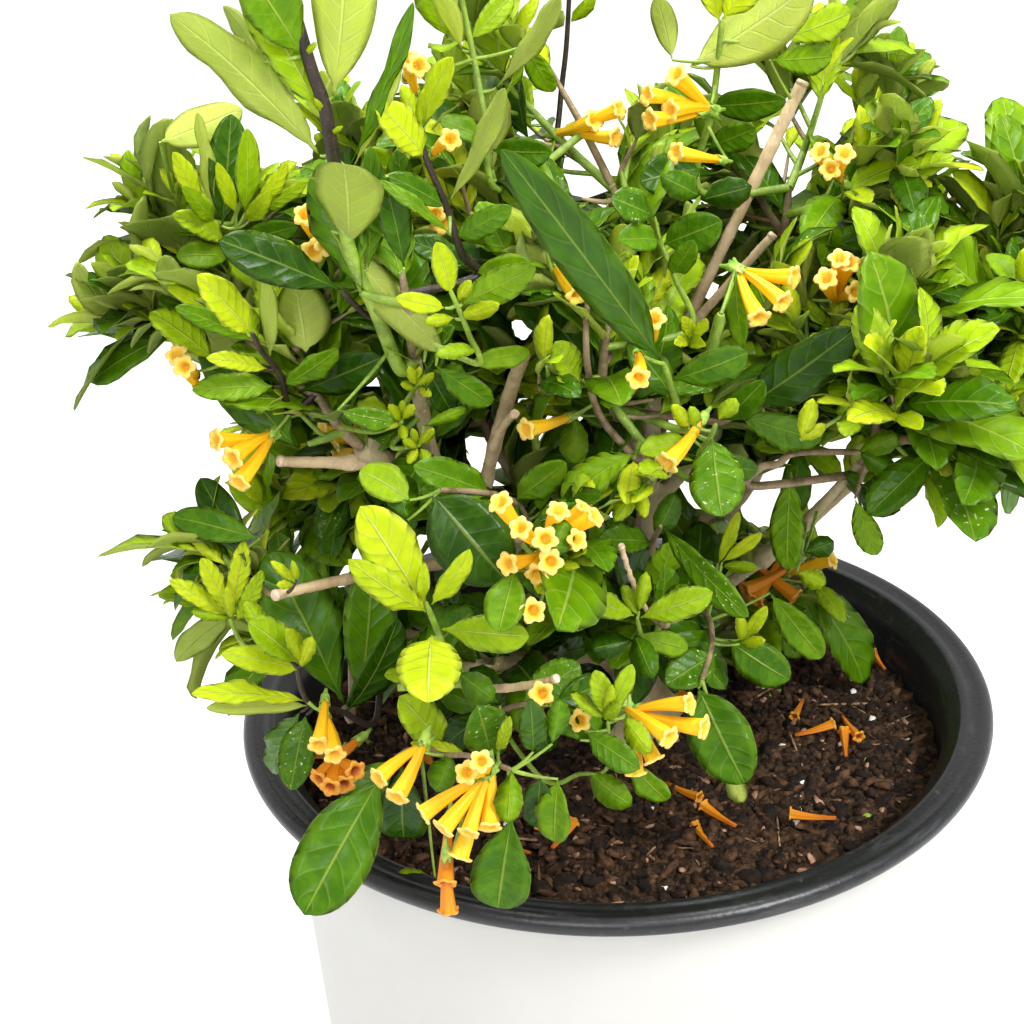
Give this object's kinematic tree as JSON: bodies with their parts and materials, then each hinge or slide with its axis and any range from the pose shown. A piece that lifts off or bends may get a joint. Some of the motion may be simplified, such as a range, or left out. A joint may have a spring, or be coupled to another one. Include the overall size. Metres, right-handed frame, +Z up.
{
  "type": "potted orange jessamine",
  "caption": "Small pruned shrub with glossy oval leaves and clusters of orange tubular blossom, standing in a round white nursery pot with a black rim.",
  "frame": {"origin": "middle of the pot's flat underside", "axes": "+Z up; -Y towards the side the picture was taken from; +X to the right in that view"},
  "size_m": [0.3336, 0.2872, 0.4987],
  "materials": {
    "pot_black": "satin moulded black",
    "pot_white": "smooth satin white",
    "potting_mix": "loose dark bark and peat mix",
    "bark": "dull grey-brown bark",
    "cut_wood": "dull beige-brown bark with pale cut ends",
    "foliage": "glossy green leaves"
  },
  "bodies": {
    "root": {"pot": "pot_black", "pot_sleeve": "pot_white", "soil": "potting_mix", "trunk": "bark", "bough_left": "bark", "bough_front_left": "bark", "bough_front": "bark", "bough_centre": "bark", "bough_right": "bark", "bough_back_right": "bark", "bough_back_left": "bark", "bough_back": "bark", "bough_low_right": "bark", "bough_low_back": "bark", "bough_low_left": "bark", "bough_left_upper": "bark", "bough_left_far": "bark", "bough_left_inner": "bark", "bough_left_low": "bark", "bough_front_right": "bark", "bough_centre_front": "bark", "bough_right_top": "bark", "bough_right_inner": "bark", "bough_right_far": "bark", "cut_stick_right": "cut_wood", "cut_stick_middle": "cut_wood", "cut_stick_left": "cut_wood", "cut_stick_fork": "cut_wood", "leaves_left": "foliage", "leaves_left_top": "foliage", "leaves_left_far": "foliage", "leaves_left_low": "foliage", "leaves_front_low": "foliage", "leaves_front": "foliage", "leaves_front_right": "foliage", "leaves_centre_front": "foliage", "leaves_centre_top": "foliage", "leaves_right_top": "foliage", "leaves_right": "foliage", "leaves_right_far": "foliage", "leaves_right_inner": "foliage", "leaves_left_inner": "foliage", "leaves_back_left": "foliage", "leaves_back": "foliage", "leaves_back_right": "foliage", "leaves_low_left": "foliage", "leaves_low_back": "foliage", "leaves_low_right": "foliage"}
  },
  "joints": []
}
